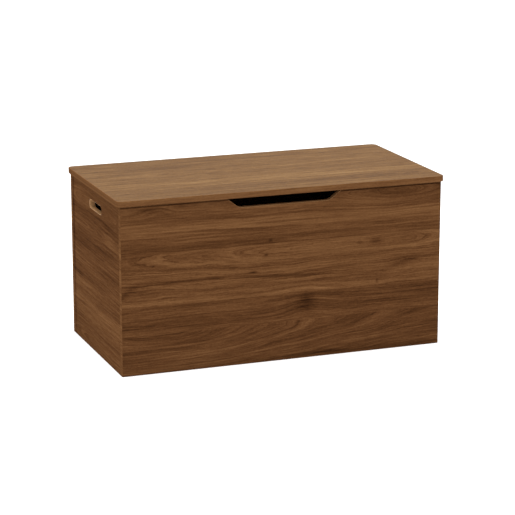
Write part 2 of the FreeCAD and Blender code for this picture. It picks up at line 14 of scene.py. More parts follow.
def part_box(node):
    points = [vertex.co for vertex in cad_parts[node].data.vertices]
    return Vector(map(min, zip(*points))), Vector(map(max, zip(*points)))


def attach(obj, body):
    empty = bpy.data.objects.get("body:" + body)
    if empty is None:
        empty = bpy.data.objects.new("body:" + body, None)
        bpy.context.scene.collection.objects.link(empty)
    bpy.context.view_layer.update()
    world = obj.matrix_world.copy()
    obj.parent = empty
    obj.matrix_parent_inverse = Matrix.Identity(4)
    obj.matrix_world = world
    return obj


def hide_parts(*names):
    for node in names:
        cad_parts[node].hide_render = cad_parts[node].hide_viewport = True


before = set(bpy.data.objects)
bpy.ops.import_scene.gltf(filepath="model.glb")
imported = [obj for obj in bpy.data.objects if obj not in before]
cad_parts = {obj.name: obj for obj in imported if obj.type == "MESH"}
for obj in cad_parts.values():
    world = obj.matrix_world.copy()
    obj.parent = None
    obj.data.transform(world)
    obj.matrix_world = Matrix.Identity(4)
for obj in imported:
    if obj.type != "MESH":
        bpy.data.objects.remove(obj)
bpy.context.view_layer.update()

MM = 0.001

# Boards and edge bands
BAND = 1.0 * MM
ARRIS = 0.7 * MM
HAIRLINE = 0.12 * MM
ARRIS_STEPS = 3
ARC_STEP = math.radians(6)
HOLE_STEPS = 24
SHARP_ANGLE = math.radians(50)
SOFTENED_ANGLE = math.radians(40)
WELD_DISTANCE = 0.005 * MM

# Grip cut-out, handle slots and lid corners
GRIP_TOP_WIDTH = 311.0 * MM
GRIP_DEPTH = 24.0 * MM
GRIP_FLANK = 31.0 * MM
GRIP_CONVEX_RADIUS = 12.0 * MM
GRIP_CONCAVE_RADIUS = 28.0 * MM
SLOT_LENGTH = 110.0 * MM
SLOT_HEIGHT = 23.0 * MM
SLOT_DROP = 44.0 * MM
SLOT_FORWARD = 8.0 * MM
LID_CORNER_RADIUS = 16.0 * MM

# Pockets that the cam locks and the screw heads sit in
CAM_RADIUS = 7.5 * MM
CAM_DEPTH = 12.6 * MM
SCREW_HEAD_RADIUS = 3.5 * MM
SCREW_POCKET_DEPTH = 2.2 * MM
POCKET_PLAY = 0.1 * MM
RAIL_ARRIS = 1.5 * MM
RAIL_SCREWS_X = (-360 * MM, -120 * MM, 120 * MM, 360 * MM)
RAIL_SCREWS_FROM_MIDDLE = 110 * MM
FLOOR_SCREWS_X = (-300 * MM, 0.0, 300 * MM)

# Camera and light
CAMERA_PLACE = (-1.937, -5.2056, 1.6317)
CAMERA_YAW = math.radians(20.514)
CAMERA_PITCH = math.radians(-14.250)
CAMERA_LENS = 148.95
SENSOR_WIDTH = 36.0
WHITE = (1.0, 1.0, 1.0, 1.0)
WORLD_LIGHT = 1.0
TOP_LIGHT_SIZE = 4.0
TOP_LIGHT_HEIGHT = 3.5
TOP_LIGHT_WATTS = 190.0
FLOOR_RADIUS = 9.0
FLOOR_SIDES = 64
FLOOR_GREY = (0.80, 0.80, 0.80, 1.0)
FLOOR_ROUGHNESS = 0.8
FLOOR_GLOW = 0.27
FLOOR_DROP = 0.3 * MM


# ---- outlines ----

def middle(node, axis):
    """The middle of a CAD node's box along x, y or z."""
    low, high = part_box(node)
    return (getattr(low, axis) + getattr(high, axis)) / 2


def left_of(direction):
    return Vector((-direction.y, direction.x))


def rounded(points, radii):
    """A counter-clockwise outline with each corner turned into an arc of its own radius."""
    count = len(points)
    path = []
    for i, radius in enumerate(radii):
        corner = Vector(points[i])
        if radius == 0:
            path.append(corner)
            continue
        first = (Vector(points[i - 1]) - corner).normalized()
        second = (Vector(points[(i + 1) % count]) - corner).normalized()
        half = first.angle(second) / 2
        centre = corner + (first + second).normalized() * (radius / math.sin(half))
        start = corner + first * (radius / math.tan(half)) - centre
        turn = math.pi - 2 * half
        if first.x * second.y - first.y * second.x > 0:
            turn = -turn
        steps = max(2, round(abs(turn) / ARC_STEP))
        for k in range(steps + 1):
            angle = turn * k / steps
            path.append(centre + Vector((start.x * math.cos(angle) - start.y * math.sin(angle),
                                         start.x * math.sin(angle) + start.y * math.cos(angle))))
    return path


def inset(path, distance, closed=True):
    """The path moved to its left, with its sides kept parallel."""
    moved = []
    count = len(path)
    for i, here in enumerate(path):
        into = here - path[i - 1] if closed or i > 0 else path[1] - here
        out = path[(i + 1) % count] - here if closed or i < count - 1 else into
        first, second = into.normalized(), out.normalized()
        reach = distance / (1 + first.dot(second))
        moved.append(here + (left_of(first) + left_of(second)) * reach)
    return moved


def rectangle(u0, u1, v0, v1):
    return [Vector((u0, v0)), Vector((u1, v0)), Vector((u1, v1)), Vector((u0, v1))]


def hole(centre_u, centre_v, length, radius):
    """A clockwise slot with round ends, which is a circle where length is twice the radius."""
    reach = length / 2 - radius
    path = []
    for k in range(2 * HOLE_STEPS):
        angle = -math.pi * (k + 0.5) / HOLE_STEPS
        shift = reach if math.cos(angle) > 0 else -reach
        path.append(Vector((centre_u + shift + radius * math.cos(angle),
                            centre_v + radius * math.sin(angle))))
    return path


def screw_pocket(u, v, from_high_face):
    """A blind pocket for the head of a screw, as board() takes it."""
    radius = SCREW_HEAD_RADIUS + POCKET_PLAY
    return hole(u, v, 2 * radius, radius), SCREW_POCKET_DEPTH, from_high_face


# ---- meshes ----

def to_frame(plane, u, v, w):
    """The point at (u, v) of a board's outline and w through its thickness."""
    if plane == "xz":
        return u, w, v
    if plane == "yz":
        return w, u, v
    return u, v, w


def quarter(centre_inset, centre_w, radius, start):
    """Points of a quarter round on an edge, as (inset, w), from start in degrees."""
    points = []
    for k in range(ARRIS_STEPS + 1):
        angle = math.radians(start - 90 * k / ARRIS_STEPS)
        points.append((centre_inset + radius * math.cos(angle), centre_w + radius * math.sin(angle)))
    return points


def edge_section(low, high, radius):
    """A board's rim from its low face to its high face, with both arrises rounded."""
    lower = quarter(radius, low + radius, radius, 270)
    upper = quarter(radius, high - radius, radius, 180)
    return lower + upper


def band_section(low, high):
    """An edge band cut across: rounded outside, with a hairline chamfer against the board."""
    inner_low = [(BAND, low + HAIRLINE), (BAND - HAIRLINE, low)]
    inner_high = [(BAND - HAIRLINE, high), (BAND, high - HAIRLINE)]
    return inner_low + edge_section(low, high, ARRIS) + inner_high


def sweep(bm, plane, path, section, closed_path, closed_section):
    """Skin a section along a path and return its rings of vertices, one ring per section point."""
    rings = []
    for distance, w in section:
        line = inset(path, distance, closed_path)
        rings.append([bm.verts.new(to_frame(plane, p.x, p.y, w)) for p in line])
    ring_pairs = list(zip(rings, rings[1:]))
    if closed_section:
        ring_pairs.append((rings[-1], rings[0]))
    for lower, upper in ring_pairs:
        for i in range(len(path) if closed_path else len(path) - 1):
            j = (i + 1) % len(path)
            bm.faces.new((lower[i], lower[j], upper[j], upper[i]))
    return rings


def fill(bm, loops):
    """Triangles over flat loops of vertices: the first is the outside, the others are holes."""
    corners = [vert for loop in loops for vert in loop]
    triangles = tessellate_polygon([[vert.co for vert in loop] for loop in loops])
    return [bm.faces.new([corners[i] for i in triangle]) for triangle in triangles]


def finish_mesh(name, bm, body, materials, nodes):
    """Turn a bmesh into a piece that rides on a body and stands for CAD nodes."""
    bmesh.ops.recalc_face_normals(bm, faces=bm.faces)
    for face in bm.faces:
        face.smooth = True
    for edge in bm.edges:
        edge.smooth = len(edge.link_faces) == 2 and edge.calc_face_angle() < SHARP_ANGLE
    mesh = bpy.data.meshes.new(name)
    bm.to_mesh(mesh)
    bm.free()
    for material in materials:
        mesh.materials.append(material)
    piece = bpy.data.objects.new(name, mesh)
    bpy.context.scene.collection.objects.link(piece)
    normals = piece.modifiers.new("even_shading", "WEIGHTED_NORMAL")
    normals.keep_sharp = True
    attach(piece, body)
    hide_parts(*nodes)
    return piece


def board(name, plane, outlines, low, high, body, materials, radius=HAIRLINE, pockets=()):
    """A board from its outline and through holes, with blind pockets in its faces.

    The first of the outlines is the outside, with arrises of the given radius, and the others are
    holes. A pocket is (outline, depth, from_high_face). The walls of the holes take the second
    material, the low face takes the third if there is one, and the rest takes the first.
    """
    bm = bmesh.new()
    caps = {False: [], True: []}
    for number, outline in enumerate(outlines):
        is_hole = number > 0
        before = len(bm.faces)
        rim = edge_section(low, high, ARRIS if is_hole else radius)
        rings = sweep(bm, plane, outline, rim, True, False)
        bm.faces.ensure_lookup_table()
        for face in bm.faces[before:]:
            face.material_index = 1 if is_hole else 0
        caps[False].append(rings[0])
        caps[True].append(rings[-1])
    for outline, depth, from_high in pockets:
        mouth = high if from_high else low
        foot = high - depth if from_high else low + depth
        rings = sweep(bm, plane, outline, [(0, mouth), (0, foot)], True, False)
        bm.faces.new(rings[1])
        caps[from_high].append(rings[0])
    for from_high, cap in caps.items():
        for face in fill(bm, cap):
            face.material_index = 0 if from_high or len(materials) < 3 else 2
    return finish_mesh(name, bm, body, materials, [name])


def bands(name, plane, paths, low, high, body, materials, closed=False):
    """Edge-band strips, one along each path."""
    bm = bmesh.new()
    for path in paths:
        rings = sweep(bm, plane, path, band_section(low, high), closed, True)
        if not closed:
            bm.faces.new([ring[0] for ring in rings])
            bm.faces.new([ring[-1] for ring in rings])
    return finish_mesh(name, bm, body, materials, [name])


# ---- materials ----

class Field:
    """A number that varies over a surface: a node's output, open to ordinary arithmetic."""

    def __init__(self, tree, socket):
        self.tree = tree
        self.socket = socket

    def math(self, operation, *others):
        node = self.tree.nodes.new("ShaderNodeMath")
        node.operation = operation
        for entry, value in zip(node.inputs, (self, *others)):
            feed(self.tree, value, entry)
        return Field(self.tree, node.outputs[0])

    def __add__(self, other):
        return self.math("ADD", other)

    def __sub__(self, other):
        return self.math("SUBTRACT", other)

    def __mul__(self, other):
        return self.math("MULTIPLY", other)

    def __truediv__(self, other):
        return self.math("DIVIDE", other)

    def __pow__(self, other):
        return self.math("POWER", other)

    def between(self, low, high):
        """0 below low, 1 above high, with a smooth step between."""
        node = self.tree.nodes.new("ShaderNodeMapRange")
        node.interpolation_type = "SMOOTHSTEP"
        feed(self.tree, self, node.inputs["Value"])
        node.inputs["From Min"].default_value = low
        node.inputs["From Max"].default_value = high
        return Field(self.tree, node.outputs["Result"])


def feed(tree, value, entry):
    if isinstance(value, Field):
        tree.links.new(value.socket, entry)
    else:
        entry.default_value = value


def coordinates(tree):
    """The surface point's place in the frame at rest, in metres, as a Field for each axis."""
    source = tree.nodes.new("ShaderNodeTexCoord")
    split = tree.nodes.new("ShaderNodeSeparateXYZ")
    tree.links.new(source.outputs["Object"], split.inputs[0])
    return {axis: Field(tree, split.outputs[axis]) for axis in "XYZ"}


def noise(tree, x, y, z, detail, roughness=0.5):
    """Noise about zero, mostly between -0.3 and 0.3."""
    join = tree.nodes.new("ShaderNodeCombineXYZ")
    for value, entry in zip((x, y, z), join.inputs):
        feed(tree, value, entry)
    node = tree.nodes.new("ShaderNodeTexNoise")
    tree.links.new(join.outputs[0], node.inputs["Vector"])
    node.inputs["Scale"].default_value = 1.0
    node.inputs["Detail"].default_value = detail
    node.inputs["Roughness"].default_value = roughness
    return Field(tree, node.outputs["Fac"]) - 0.5


def even_noise(tree, place, scale, detail=2.0, roughness=0.5):
    """Noise that runs the same in all directions, scale times per metre."""
    x, y, z = (place[axis] * scale for axis in "XYZ")
    return noise(tree, x, y, z, detail, roughness)


def bell(a, b, middle_a, middle_b, half_a, half_b, slope=0.0):
    """A soft spot, 1 at its middle; slope tilts a long one as b over a."""
    along = (a - middle_a) / half_a
    across = (b - middle_b - (a - middle_a) * slope) / half_b
    return ((along * along + across * across) * -1.0).math("EXPONENT")


def ramp(tree, value, stops):
    node = tree.nodes.new("ShaderNodeValToRGB")
    elements = node.color_ramp.elements
    while len(elements) < len(stops):
        elements.new(0.5)
    for element, (position, colour) in zip(elements, stops):
        element.position = position
        element.color = (*colour, 1.0)
    feed(tree, value, node.inputs["Fac"])
    return node.outputs["Color"]


def bump(tree, shader, height, depth):
    node = tree.nodes.new("ShaderNodeBump")
    node.inputs["Distance"].default_value = depth
    feed(tree, height, node.inputs["Height"])
    tree.links.new(node.outputs["Normal"], shader.inputs["Normal"])


def coat(tree, shader, tone, stops, roughness, relief, relief_depth):
    """Colour a surface by its tone, and give it a roughness and a relief that vary over it."""
    tree.links.new(ramp(tree, tone, stops), shader.inputs["Base Color"])
    feed(tree, roughness, shader.inputs["Roughness"])
    bump(tree, shader, relief, relief_depth)


def new_material(name):
    material = bpy.data.materials.new(name)
    material.use_nodes = True
    tree = material.node_tree
    return material, tree, tree.nodes["Principled BSDF"]


# A stave of the printed walnut face reaches from the one above it down to bottom. Its growth rings
# lie round an eye, a stretch of 2 * flat about eye_a at eye_b. They close over reach on the eye's
# left, and over reach_right on its right, to lens shapes no wider than 2 * bulge. Pitch is the
# distance between rings, rings is how strongly they show, and wander is how much they waver.
# A hill bends the rings, and a mark darkens or lightens them. Lengths are in metres.
Stave = namedtuple("Stave", "bottom tone pitch rings eye_a eye_b flat bulge reach reach_right wander",
                   defaults=(1.0,))
Hill = namedtuple("Hill", "a b half_a half_b height")
Mark = namedtuple("Mark", "a b half_a half_b slope tone")

# A layer of noise in the walnut, by how often it runs per metre of its two coordinates
Layer = namedtuple("Layer", "first second detail roughness", defaults=(0.5,))
SWAY = Layer(2.2, 7.0, 1.0)
WAVE = Layer(8.0, 30.0, 1.0)
RIPPLE = Layer(22.0, 110.0, 2.0)
BROAD = Layer(34.0, 1.3, 1.0)
NARROW = Layer(125.0, 2.6, 2.0)
FINE = Layer(290.0, 6.0, 4.0, 0.72)
BROKEN = Layer(420.0, 24.0, 3.0, 0.65)
FLECK = Layer(150.0, 520.0, 2.0, 0.7)
FIBRE = Layer(35.0, 2600.0, 1.0)
PORES = Layer(110.0, 1500.0, 1.0)

# How far the first three layers push the rings about, and how far staves are apart in the noise
SWAY_PUSH = 20.0 * MM
WAVE_PUSH = 6.0 * MM
RIPPLE_PUSH = 3.0 * MM
STAVE_STEP = 7.3

# Colours by tone, from dark to light
WALNUT = ((0.0, (0.020, 0.0075, 0.0030)), (0.30, (0.062, 0.0250, 0.0090)),
          (0.50, (0.098, 0.0418, 0.0158)), (0.72, (0.138, 0.0640, 0.0250)),
          (1.0, (0.200, 0.1010, 0.0430)))
# The lid's top: the same walnut painted a little lighter and yellower, as painted light for the light
# falling on the top; its underside keeps the plain walnut colours
LID_TOP_WALNUT_PAINTED_LIGHT = ((0.0, (0.044, 0.0202, 0.0078)), (0.30, (0.084, 0.0404, 0.0143)),
              (0.50, (0.109, 0.0545, 0.0189)), (0.72, (0.136, 0.0714, 0.0258)),
              (1.0, (0.187, 0.1053, 0.0414)))
# Slot-wall browns, paler than the walnut: painted light on the handle slots' walls
SLOT_WALL_BROWN_PAINTED_LIGHT = ((0.2, (0.23, 0.115, 0.046)), (0.5, (0.38, 0.215, 0.096)),
                (0.8, (0.52, 0.320, 0.155)))
PLANED_WOOD = ((0.15, (0.34, 0.190, 0.085)), (0.5, (0.55, 0.360, 0.185)),
               (0.85, (0.66, 0.470, 0.270)))


def by_stave(b, staves, name):
    """The value that each stave has for one of its fields."""
    value = b * 0.0 + getattr(staves[0], name)
    for upper, lower in zip(staves, staves[1:]):
        change = getattr(lower, name) - getattr(upper, name)
        if change:
            value = b.math("LESS_THAN", upper.bottom) * change + value
    return value


def grain(tree, layer, first, second, seed):
    """One layer of noise over two coordinates."""
    return noise(tree, first * layer.first, second * layer.second, seed, layer.detail,
                 layer.roughness)


def walnut(name, along, across, staves, seed, hills=(), marks=(), lift=0.0, calm=1.0, crisp=1.0,
           gloss=0.0002, palette=WALNUT):
    """Printed walnut: rings, streaks, knots and pores over staves laid side by side.

    Lift lightens it, calm scales the rings and the streaks, and crisp scales the fine texture.
    """
    material, tree, shader = new_material(name)
    place = coordinates(tree)
    a, b = place[along], place[across]
    staves_above = b * 0.0
    for stave in staves[:-1]:
        staves_above = staves_above + b.math("LESS_THAN", stave.bottom)
    own = staves_above * STAVE_STEP + seed
    sway = grain(tree, SWAY, a, b, own)
    wave = grain(tree, WAVE, a, b, own)
    ripple = grain(tree, RIPPLE, a, b, own)

    eye_a = by_stave(b, staves, "eye_a")
    reach_left = by_stave(b, staves, "reach")
    reach_change = by_stave(b, staves, "reach_right") - reach_left
    reach = (a - eye_a).math("GREATER_THAN", 0.0) * reach_change + reach_left
    past = ((a - eye_a).math("ABSOLUTE") - by_stave(b, staves, "flat")).math("MAXIMUM", 0.0)
    closing = (past / reach).math("TANH") * by_stave(b, staves, "bulge")
    drop = b - by_stave(b, staves, "eye_b")
    depth = (drop * drop + closing * closing).math("SQRT")
    wander = by_stave(b, staves, "wander")
    depth = depth + sway * SWAY_PUSH + (wave * WAVE_PUSH + ripple * RIPPLE_PUSH) * wander
    for hill in hills:
        depth = depth + bell(a, b, hill.a, hill.b, hill.half_a, hill.half_b) * hill.height

    broad = grain(tree, BROAD, depth, a, own)
    narrow = grain(tree, NARROW, depth, a, own)
    fine = grain(tree, FINE, depth, a, own)
    broken = grain(tree, BROKEN, b, a, own)
    ring = (depth / by_stave(b, staves, "pitch") + broad * 1.2).math("FRACT")
    late_wood = ring ** 8.0 * (narrow + 0.6) * by_stave(b, staves, "rings")
    fleck = grain(tree, FLECK, a, b, own + 5.0)
    streaks = (broad * 0.45 + narrow * 0.55 - late_wood) * calm
    texture = (fine * 0.80 + broken * 0.45 + fleck * 0.40) * crisp
    tone = streaks + texture + by_stave(b, staves, "tone") + (0.5 + lift)
    for mark in marks:
        spot = bell(a, b, mark.a, mark.b, mark.half_a, mark.half_b, mark.slope)
        tone = tone + spot * (narrow * 1.2 + 1.0) * mark.tone

    fibre = grain(tree, FIBRE, a, b, own)
    pores = grain(tree, PORES, a, b, own + 2.0).between(0.13, 0.24)
    tone = tone + fibre * 0.10 - pores * 0.16
    roughness = fine * -0.10 + fibre * 0.12 + pores * 0.12 + 0.47
    relief = fibre * 0.35 + fine * 0.3 - pores
    coat(tree, shader, tone, palette, roughness, relief, 0.05 * MM)
    shader.inputs["Specular IOR Level"].default_value = gloss
    return material


FRONT_STAVES = (
    Stave(0.316, 0.015, 0.0090, 0.25, 0.330, 0.432, 0.010, 0.022, 0.15, 0.10),
    Stave(0.178, 0.045, 0.0056, 0.40, 0.200, 0.297, 0.150, 0.047, 0.50, 0.22, 2.4),
    Stave(0.104, -0.07, 0.0060, 0.22, 0.060, 0.190, 0.000, 0.012, 0.10, 0.10),
    Stave(-1.0, -0.04, 0.0070, 0.30, -0.330, 0.110, 0.020, 0.110, 0.50, 0.50),
)
FRONT_HILLS = (
    Hill(-0.345, 0.424, 0.045, 0.012, 0.008),
    Hill(0.060, 0.145, 0.070, 0.040, 0.016),
    Hill(0.350, 0.242, 0.060, 0.012, 0.008),
)
FRONT_MARKS = (
    Mark(0.000, 0.378, 1.500, 0.022, 0.00, 0.08),
    Mark(-0.200, 0.377, 0.300, 0.004, 0.00, 0.12),
    Mark(0.000, 0.330, 1.500, 0.012, 0.00, -0.11),
    Mark(-0.080, 0.330, 0.080, 0.011, 0.00, -0.08),
    Mark(0.380, 0.334, 0.100, 0.010, 0.00, -0.08),
    Mark(0.000, 0.436, 1.500, 0.012, 0.00, -0.05),
    # painted shade: a dark line along the top of the front board, where the gap under the lid is in
    # shadow
    Mark(0.000, 0.4400, 5.000, 0.0014, 0.00, -0.50),
    Mark(-0.370, 0.431, 0.032, 0.006, 0.00, -0.12),
    Mark(-0.322, 0.414, 0.030, 0.005, -0.15, -0.10),
    Mark(0.330, 0.421, 0.055, 0.009, 0.00, -0.14),
    Mark(-0.039, 0.325, 0.006, 0.004, 0.00, -0.25),
    Mark(-0.300, 0.290, 0.140, 0.026, 0.00, 0.07),
    Mark(-0.250, 0.238, 0.150, 0.0036, 0.02, -0.26),
    Mark(0.030, 0.226, 0.200, 0.0045, -0.05, -0.22),
    Mark(0.320, 0.230, 0.060, 0.0080, 0.18, -0.18),
    Mark(-0.430, 0.217, 0.024, 0.0100, 0.60, -0.22),
    Mark(-0.086, 0.244, 0.012, 0.0022, 0.00, -0.50),
    Mark(-0.051, 0.287, 0.006, 0.0025, 0.10, -0.45),
    Mark(0.255, 0.299, 0.017, 0.0090, 0.00, -0.28),
    Mark(0.211, 0.298, 0.010, 0.0040, 0.00, -0.20),
    Mark(0.355, 0.242, 0.045, 0.0070, 0.00, -0.22),
    Mark(0.261, 0.189, 0.003, 0.0060, 0.00, -0.25),
    Mark(0.000, 0.186, 0.600, 0.0050, 0.00, 0.10),
    Mark(0.000, 0.172, 0.600, 0.0050, 0.00, -0.06),
    Mark(0.062, 0.158, 0.022, 0.0160, 0.00, -0.16),
    Mark(0.058, 0.140, 0.036, 0.0300, 0.00, -0.14),
    Mark(0.250, 0.167, 0.200, 0.0070, 0.00, -0.08),
    Mark(-0.330, 0.098, 0.130, 0.0050, 0.00, -0.12),
    Mark(0.150, 0.008, 0.300, 0.0060, 0.00, -0.20),
    Mark(0.120, 0.010, 0.050, 0.0040, 0.00, -0.15),
)
SIDE_STAVES = (
    Stave(0.377, 0.00, 0.0070, 0.25, 0.000, 0.397, 0.050, 0.030, 0.22, 0.22),
    Stave(0.220, -0.05, 0.0080, 0.22, 0.200, 0.330, 0.100, 0.030, 0.40, 0.40),
    Stave(-1.0, 0.02, 0.0090, 0.20, -0.100, 0.020, 0.100, 0.040, 0.50, 0.50),
)
SIDE_MARKS = (
    Mark(0.000, 0.362, 1.500, 0.012, 0.00, -0.06),
    Mark(0.000, 0.325, 1.500, 0.010, 0.00, 0.05),
    Mark(0.110, 0.282, 0.100, 0.020, 0.00, -0.10),
    Mark(0.000, 0.210, 1.500, 0.010, 0.00, -0.05),
    Mark(0.145, 0.182, 0.030, 0.010, 0.00, -0.08),
    Mark(0.000, 0.105, 1.500, 0.030, 0.00, 0.10),
    Mark(0.000, 0.055, 1.500, 0.012, 0.00, -0.05),
    # painted shade: a dark band down the side board beside its joint with the back board
    Mark(0.201, 0.280, 0.009, 0.600, 0.00, -0.26),
)
RIGHT_STAVES = (
    Stave(0.352, 0.03, 0.0080, 0.25, -0.060, 0.400, 0.050, 0.030, 0.25, 0.20),
    Stave(0.190, -0.05, 0.0070, 0.25, 0.120, 0.262, 0.080, 0.034, 0.30, 0.35),
    Stave(0.070, 0.04, 0.0075, 0.22, -0.100, 0.120, 0.060, 0.040, 0.40, 0.30),
    Stave(-1.0, -0.04, 0.0080, 0.20, 0.000, -0.040, 0.100, 0.040, 0.50, 0.50),
)
RIGHT_MARKS = (
    Mark(-0.090, 0.270, 0.016, 0.008, 0.00, -0.25),
    Mark(0.060, 0.205, 0.200, 0.007, 0.00, -0.12),
    Mark(0.130, 0.150, 0.006, 0.003, 0.00, -0.40),
)
BACK_STAVES = (
    Stave(0.330, -0.04, 0.0080, 0.25, -0.250, 0.390, 0.080, 0.036, 0.30, 0.35),
    Stave(0.205, 0.04, 0.0070, 0.30, 0.200, 0.265, 0.100, 0.040, 0.35, 0.25),
    Stave(0.085, -0.05, 0.0065, 0.22, -0.100, 0.150, 0.150, 0.040, 0.50, 0.50),
    Stave(-1.0, 0.02, 0.0080, 0.25, 0.100, 0.040, 0.060, 0.044, 0.40, 0.40),
)
BACK_HILLS = (
    Hill(-0.120, 0.140, 0.060, 0.030, 0.014),
)
BACK_MARKS = (
    Mark(-0.120, 0.145, 0.028, 0.016, 0.00, -0.25),
    Mark(0.240, 0.262, 0.008, 0.004, 0.00, -0.40),
    Mark(0.000, 0.215, 1.500, 0.008, 0.00, -0.10),
    Mark(0.100, 0.352, 0.300, 0.012, 0.00, 0.08),
)
LID_STAVES = (
    Stave(0.130, -0.02, 0.0100, 0.10, -0.150, 0.190, 0.100, 0.030, 0.60, 0.60),
    Stave(-0.045, 0.00, 0.0100, 0.10, 0.250, 0.040, 0.100, 0.030, 0.60, 0.60),
    Stave(-1.0, 0.00, 0.0100, 0.10, -0.100, -0.160, 0.200, 0.030, 0.60, 0.60),
)
LID_MARKS = (
    Mark(-0.200, 0.120, 0.120, 0.022, 0.00, -0.22),
    Mark(0.150, 0.170, 0.260, 0.010, 0.00, -0.14),
    Mark(0.280, 0.060, 0.260, 0.014, 0.08, 0.16),
    Mark(-0.300, 0.190, 0.120, 0.010, 0.00, 0.10),
    Mark(-0.420, 0.025, 0.060, 0.010, 0.00, 0.12),
    Mark(0.100, -0.092, 0.600, 0.024, 0.00, 0.20),
    Mark(-0.200, -0.165, 0.350, 0.012, 0.02, -0.14),
    Mark(-0.130, -0.205, 0.160, 0.012, 0.00, -0.12),
    Mark(0.250, -0.170, 0.200, 0.020, 0.00, -0.08),
    Mark(0.132, -0.006, 0.012, 0.008, 0.00, -0.16),
    Mark(0.015, -0.175, 0.010, 0.007, 0.30, -0.16),
)
UNDERSIDE_STAVES = (
    Stave(0.085, 0.03, 0.0080, 0.25, 0.200, 0.160, 0.100, 0.040, 0.30, 0.35),
    Stave(-0.060, -0.04, 0.0070, 0.28, -0.150, 0.010, 0.080, 0.036, 0.35, 0.30),
    Stave(-1.0, 0.02, 0.0080, 0.25, 0.100, -0.150, 0.120, 0.040, 0.40, 0.40),
)
UNDERSIDE_MARKS = (
    Mark(0.240, 0.022, 0.008, 0.005, 0.00, -0.40),
    Mark(-0.200, 0.095, 0.300, 0.008, 0.00, -0.10),
    Mark(0.100, -0.110, 0.300, 0.012, 0.00, 0.08),
)
FLOOR_STAVES = (
    Stave(0.090, -0.03, 0.0080, 0.25, -0.200, 0.150, 0.100, 0.040, 0.35, 0.30),
    Stave(-0.070, 0.03, 0.0075, 0.25, 0.150, 0.010, 0.080, 0.036, 0.30, 0.35),
    Stave(-1.0, -0.02, 0.0080, 0.25, -0.100, -0.140, 0.120, 0.040, 0.40, 0.40),
)
BAND_STAVES = (
    Stave(-1.0, 0.00, 0.0200, 0.10, 0.000, 2.000, 0.000, 0.001, 1.00, 1.00),
)


def slot_wall_painted_light(name):
    """The routed wall of a handle slot, finely speckled, in a pale brown that is painted light:
    lighter than the walnut, for the light falling on the slot's floor.
    """
    material, tree, shader = new_material(name)
    place = coordinates(tree)
    speckle = even_noise(tree, place, 900.0, 3.0, 0.7)
    patches = even_noise(tree, place, 60.0)
    tone = speckle * 0.9 + patches * 0.8 + 0.5
    coat(tree, shader, tone, SLOT_WALL_BROWN_PAINTED_LIGHT, speckle * 0.2 + 0.5, speckle, 0.08 * MM)
    shader.inputs["Specular IOR Level"].default_value = 0.2
    return material


def plain_wood(name, along, across, depth):
    """Planed wood without a stain: pale, with straight grain."""
    material, tree, shader = new_material(name)
    place = coordinates(tree)
    a, b, c = place[along], place[across], place[depth]
    rings = noise(tree, a * 4.0, b * 220.0, c * 220.0, 2.0, 0.55)
    fibre = noise(tree, a * 60.0, b * 2400.0, c * 2400.0, 2.0, 0.6)
    tone = rings * 1.5 + fibre * 0.5 + 0.5
    coat(tree, shader, tone, PLANED_WOOD, fibre * 0.2 + 0.62, rings * 0.4 + fibre, 0.1 * MM)
    shader.inputs["Specular IOR Level"].default_value = 0.25
    return material


def metal(name, dark, light, roughness, relief_depth, stretch=1.0):
    """Plated metal; stretch is how many times longer its marks are along X than across it."""
    material, tree, shader = new_material(name)
    place = coordinates(tree)
    across = 900.0
    along = across / stretch
    marks = noise(tree, place["X"] * along, place["Y"] * across, place["Z"] * across, 3.0, 0.6)
    cloud = even_noise(tree, place, 70.0)
    tone = cloud * 1.2 + marks * 0.8 + 0.5
    varied_roughness = marks * 0.25 + cloud * 0.15 + roughness
    coat(tree, shader, tone, ((0.3, dark), (0.7, light)), varied_roughness, marks, relief_depth)
    shader.inputs["Metallic"].default_value = 1.0
    return material


def moulded(name, dark, light, roughness):
    """Moulded plastic or rubber with a fine spark-eroded texture."""
    material, tree, shader = new_material(name)
    place = coordinates(tree)
    pebble = even_noise(tree, place, 2600.0)
    wear = even_noise(tree, place, 120.0, 3.0)
    tone = wear + pebble * 0.5 + 0.5
    varied_roughness = pebble * 0.3 + wear * 0.2 + roughness
    coat(tree, shader, tone, ((0.3, dark), (0.7, light)), varied_roughness, pebble, 0.1 * MM)
    return material


# ---- scene ----

def camera():
    data = bpy.data.cameras.new("camera")
    data.lens = CAMERA_LENS
    data.sensor_width = SENSOR_WIDTH
    view = bpy.data.objects.new("camera", data)
    view.location = CAMERA_PLACE
    view.rotation_euler = (math.pi / 2 + CAMERA_PITCH, 0.0, -CAMERA_YAW)
    bpy.context.scene.collection.objects.link(view)
    bpy.context.scene.camera = view


def studio():
    """White surroundings, one large soft light overhead and a pale floor."""
    world = bpy.data.worlds.new("white_studio")
    world.use_nodes = True
    background = world.node_tree.nodes["Background"]
    background.inputs["Color"].default_value = WHITE
    background.inputs["Strength"].default_value = WORLD_LIGHT
    bpy.context.scene.world = world
    data = bpy.data.lights.new("top_light", "AREA")
    data.shape = "DISK"
    data.size = TOP_LIGHT_SIZE
    data.energy = TOP_LIGHT_WATTS
    light = bpy.data.objects.new("top_light", data)
    light.location = (0.0, 0.0, TOP_LIGHT_HEIGHT)
    bpy.context.scene.collection.objects.link(light)

    bm = bmesh.new()
    bmesh.ops.create_circle(bm, cap_ends=True, radius=FLOOR_RADIUS, segments=FLOOR_SIDES)
    mesh = bpy.data.meshes.new("floor")
    bm.to_mesh(mesh)
    bm.free()
    floor = bpy.data.objects.new("floor", mesh)
    floor.location.z = -FLOOR_DROP
    bpy.context.scene.collection.objects.link(floor)
    material, _, shader = new_material("pale_floor")
    shader.inputs["Base Color"].default_value = FLOOR_GREY
    shader.inputs["Roughness"].default_value = FLOOR_ROUGHNESS
    shader.inputs["Emission Color"].default_value = WHITE
    shader.inputs["Emission Strength"].default_value = FLOOR_GLOW
    mesh.materials.append(material)
    bpy.context.scene.view_settings.view_transform = "Standard"


# The planes that the boards of the box lie between
Carcass = namedtuple("Carcass", "left right height front inner_front middle_y inner_back back board")


